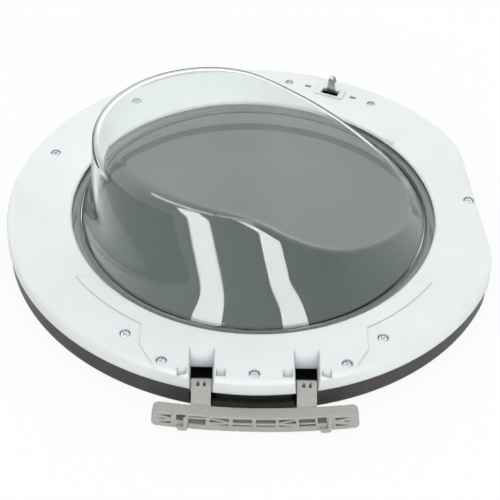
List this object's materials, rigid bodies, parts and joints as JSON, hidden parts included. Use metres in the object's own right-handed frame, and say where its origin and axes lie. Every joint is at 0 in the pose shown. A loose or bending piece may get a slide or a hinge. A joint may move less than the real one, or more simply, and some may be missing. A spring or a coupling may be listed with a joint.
{
  "type": "washing machine door",
  "caption": "Round front-loader door with a slanted clear glass bowl, white inner ring, dark outer frame with smoked window, cast swing hinge and sprung latch hook.",
  "frame": {"origin": "porthole axis on the front plane of the door", "axes": "+Z out of the inner face along the porthole axis, -Y towards the hinge, +X towards the flat side of the outline; the door lies on its front face"},
  "size_m": [0.4478, 0.4835, 0.1291],
  "materials": {
    "white_plastic": "white moulded plastic, satin",
    "dark_plastic": "graphite grey moulded plastic, semi-gloss",
    "black_plastic": "black moulded plastic",
    "grey_plastic": "grey moulded plastic",
    "smoked_window": "smoked clear sheet, polished",
    "clear_glass": "clear pressed glass, fire polished",
    "seal_rubber": "dark moulded rubber",
    "zinc_steel": "bright zinc plated",
    "pin_steel": "drawn steel",
    "cast_metal": "grey die casting, fine grain, matt",
    "bush_plastic": "natural moulded plastic",
    "hook_metal": "nickel plated casting"
  },
  "bodies": {
    "door": {"outer_frame": "dark_plastic", "outer_window": "smoked_window", "spacer_ring": "grey_plastic", "glass_bowl": "clear_glass", "glass_seal": "seal_rubber", "inner_frame": "white_plastic", "frame_screws": "zinc_steel", "hinge_carrier": "black_plastic", "hinge_screws": "zinc_steel", "hinge_pin_left": "pin_steel", "hinge_pin_right": "pin_steel", "latch_housing": "black_plastic", "latch_screws": "zinc_steel", "latch_pin": "pin_steel", "latch_spring": "pin_steel"},
    "hinge": {"hinge_bracket": "cast_metal", "hinge_bush_left_outer": "bush_plastic", "hinge_bush_left_inner": "bush_plastic", "hinge_bush_right_inner": "bush_plastic", "hinge_bush_right_outer": "bush_plastic"},
    "latch": {"latch_hook": "hook_metal"}
  },
  "joints": [
    {"name": "hinge_swing", "type": "hinge", "parent": "door", "child": "hinge", "pos_m": [0, -0.213, 0.0165], "axis": [1, 0, 0], "range_deg": [-90, 40]},
    {"name": "latch_turn", "type": "hinge", "parent": "door", "child": "latch", "pos_m": [0.07916, 0.19018, 0.025], "axis": [0.9232, -0.3843, 0], "range_deg": [0, 10], "stiffness_Nm_per_rad": 0.05, "springref_deg": -17.19}
  ]
}
